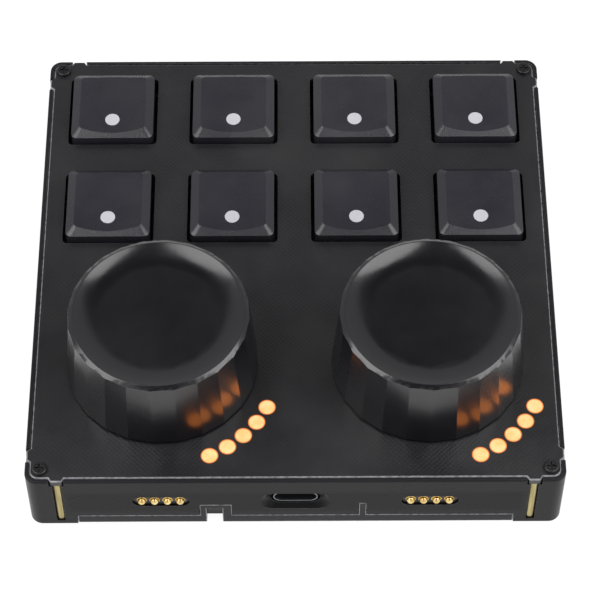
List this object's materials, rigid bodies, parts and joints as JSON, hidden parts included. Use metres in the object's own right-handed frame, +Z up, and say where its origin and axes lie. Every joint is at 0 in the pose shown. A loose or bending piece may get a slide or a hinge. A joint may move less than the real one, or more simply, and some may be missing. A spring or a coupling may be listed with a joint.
{
  "type": "midi controller module",
  "caption": "Square desktop controller module with low keys, faceted endless push knobs, arcs of indicator lights, a socket and magnetic side contacts.",
  "frame": {"origin": "centre of the footprint, at the underside of the feet", "axes": "+X right, +Y back, +Z up; the socket is at -Y"},
  "size_m": [0.1076, 0.1076, 0.0347],
  "materials": {
    "face_black": "fine woven texture, matte",
    "smoke_plastic": "dark translucent, satin gloss",
    "rubber_black": "matte",
    "magnet_gold": "gold plated, satin",
    "screw_black": "black oxide",
    "board_black": "solder mask",
    "chip_black": "moulded",
    "lamp_white": "small lamp package",
    "light_orange": "clear, lit from below",
    "switch_black": "moulded",
    "stem_grey": "moulded",
    "cap_black": "fine grained satin",
    "window_white": "milky",
    "spring_steel": "drawn wire",
    "encoder_metal": "plated",
    "rotor_plastic": "moulded",
    "knob_black": "gloss facets, satin top",
    "socket_steel": "stamped",
    "tongue_black": "moulded",
    "block_grey": "moulded",
    "contact_gold": "gold plated, polished"
  },
  "bodies": {
    "case": {"top_plate": "face_black", "housing": "smoke_plastic", "base_cover": "smoke_plastic", "rubber_feet": "rubber_black", "corner_magnets": "magnet_gold", "plate_screws": "screw_black", "main_board": "board_black", "board_chips": "chip_black", "board_lamps": "lamp_white", "light_guides": "light_orange", "switch_bases": "switch_black", "switch_tops": "switch_black", "encoder_bodies": "encoder_metal", "bushing_nuts": "encoder_metal", "socket_shell": "socket_steel", "socket_tongue": "tongue_black", "contact_blocks": "block_grey", "contact_barrels": "contact_gold", "key_spring_1": "spring_steel", "key_spring_2": "spring_steel", "key_spring_3": "spring_steel", "key_spring_4": "spring_steel", "key_spring_5": "spring_steel", "key_spring_6": "spring_steel", "key_spring_7": "spring_steel", "key_spring_8": "spring_steel"},
    "key_1": {"keycap_1": "cap_black", "key_window_1": "window_white", "key_stem_1": "stem_grey"},
    "key_2": {"keycap_2": "cap_black", "key_window_2": "window_white", "key_stem_2": "stem_grey"},
    "key_3": {"keycap_3": "cap_black", "key_window_3": "window_white", "key_stem_3": "stem_grey"},
    "key_4": {"keycap_4": "cap_black", "key_window_4": "window_white", "key_stem_4": "stem_grey"},
    "key_5": {"keycap_5": "cap_black", "key_window_5": "window_white", "key_stem_5": "stem_grey"},
    "key_6": {"keycap_6": "cap_black", "key_window_6": "window_white", "key_stem_6": "stem_grey"},
    "key_7": {"keycap_7": "cap_black", "key_window_7": "window_white", "key_stem_7": "stem_grey"},
    "key_8": {"keycap_8": "cap_black", "key_window_8": "window_white", "key_stem_8": "stem_grey"},
    "rotor_left": {"encoder_rotor_left": "rotor_plastic"},
    "knob_left": {"knob_left": "knob_black", "encoder_shaft_left": "encoder_metal"},
    "rotor_right": {"encoder_rotor_right": "rotor_plastic"},
    "knob_right": {"knob_right": "knob_black", "encoder_shaft_right": "encoder_metal"},
    "contacts_front": {"contact_pins_front": "contact_gold"},
    "contacts_right": {"contact_pins_right": "contact_gold"},
    "contacts_back": {"contact_pins_back": "contact_gold"},
    "contacts_left": {"contact_pins_left": "contact_gold"}
  },
  "joints": [
    {"name": "key_1_press", "type": "slide", "parent": "case", "child": "key_1", "axis": [0, 0, -1], "range_m": [0, 0.003], "stiffness_N_per_m": 100, "springref_m": -0.003, "deforming": ["key_spring_1"]},
    {"name": "key_2_press", "type": "slide", "parent": "case", "child": "key_2", "axis": [0, 0, -1], "range_m": [0, 0.003], "stiffness_N_per_m": 100, "springref_m": -0.003, "deforming": ["key_spring_2"]},
    {"name": "key_3_press", "type": "slide", "parent": "case", "child": "key_3", "axis": [0, 0, -1], "range_m": [0, 0.003], "stiffness_N_per_m": 100, "springref_m": -0.003, "deforming": ["key_spring_3"]},
    {"name": "key_4_press", "type": "slide", "parent": "case", "child": "key_4", "axis": [0, 0, -1], "range_m": [0, 0.003], "stiffness_N_per_m": 100, "springref_m": -0.003, "deforming": ["key_spring_4"]},
    {"name": "key_5_press", "type": "slide", "parent": "case", "child": "key_5", "axis": [0, 0, -1], "range_m": [0, 0.003], "stiffness_N_per_m": 100, "springref_m": -0.003, "deforming": ["key_spring_5"]},
    {"name": "key_6_press", "type": "slide", "parent": "case", "child": "key_6", "axis": [0, 0, -1], "range_m": [0, 0.003], "stiffness_N_per_m": 100, "springref_m": -0.003, "deforming": ["key_spring_6"]},
    {"name": "key_7_press", "type": "slide", "parent": "case", "child": "key_7", "axis": [0, 0, -1], "range_m": [0, 0.003], "stiffness_N_per_m": 100, "springref_m": -0.003, "deforming": ["key_spring_7"]},
    {"name": "key_8_press", "type": "slide", "parent": "case", "child": "key_8", "axis": [0, 0, -1], "range_m": [0, 0.003], "stiffness_N_per_m": 100, "springref_m": -0.003, "deforming": ["key_spring_8"]},
    {"name": "knob_left_turn", "type": "hinge", "parent": "case", "child": "rotor_left", "pos_m": [-0.02675, -0.0253, 0.0168], "axis": [0, 0, 1], "continuous": true},
    {"name": "knob_left_push", "type": "slide", "parent": "rotor_left", "child": "knob_left", "axis": [0, 0, -1], "range_m": [0, 0.0005], "stiffness_N_per_m": 4000, "springref_m": -0.0005},
    {"name": "knob_right_turn", "type": "hinge", "parent": "case", "child": "rotor_right", "pos_m": [0.02675, -0.0253, 0.0168], "axis": [0, 0, 1], "continuous": true},
    {"name": "knob_right_push", "type": "slide", "parent": "rotor_right", "child": "knob_right", "axis": [0, 0, -1], "range_m": [0, 0.0005], "stiffness_N_per_m": 4000, "springref_m": -0.0005},
    {"name": "contacts_front_push", "type": "slide", "parent": "case", "child": "contacts_front", "axis": [0, 1, 0], "range_m": [0, 0.0006], "stiffness_N_per_m": 3000, "springref_m": -0.0006},
    {"name": "contacts_right_push", "type": "slide", "parent": "case", "child": "contacts_right", "axis": [-1, 0, 0], "range_m": [0, 0.0006], "stiffness_N_per_m": 3000, "springref_m": -0.0006},
    {"name": "contacts_back_push", "type": "slide", "parent": "case", "child": "contacts_back", "axis": [0, -1, 0], "range_m": [0, 0.0006], "stiffness_N_per_m": 3000, "springref_m": -0.0006},
    {"name": "contacts_left_push", "type": "slide", "parent": "case", "child": "contacts_left", "axis": [1, 0, 0], "range_m": [0, 0.0006], "stiffness_N_per_m": 3000, "springref_m": -0.0006}
  ]
}
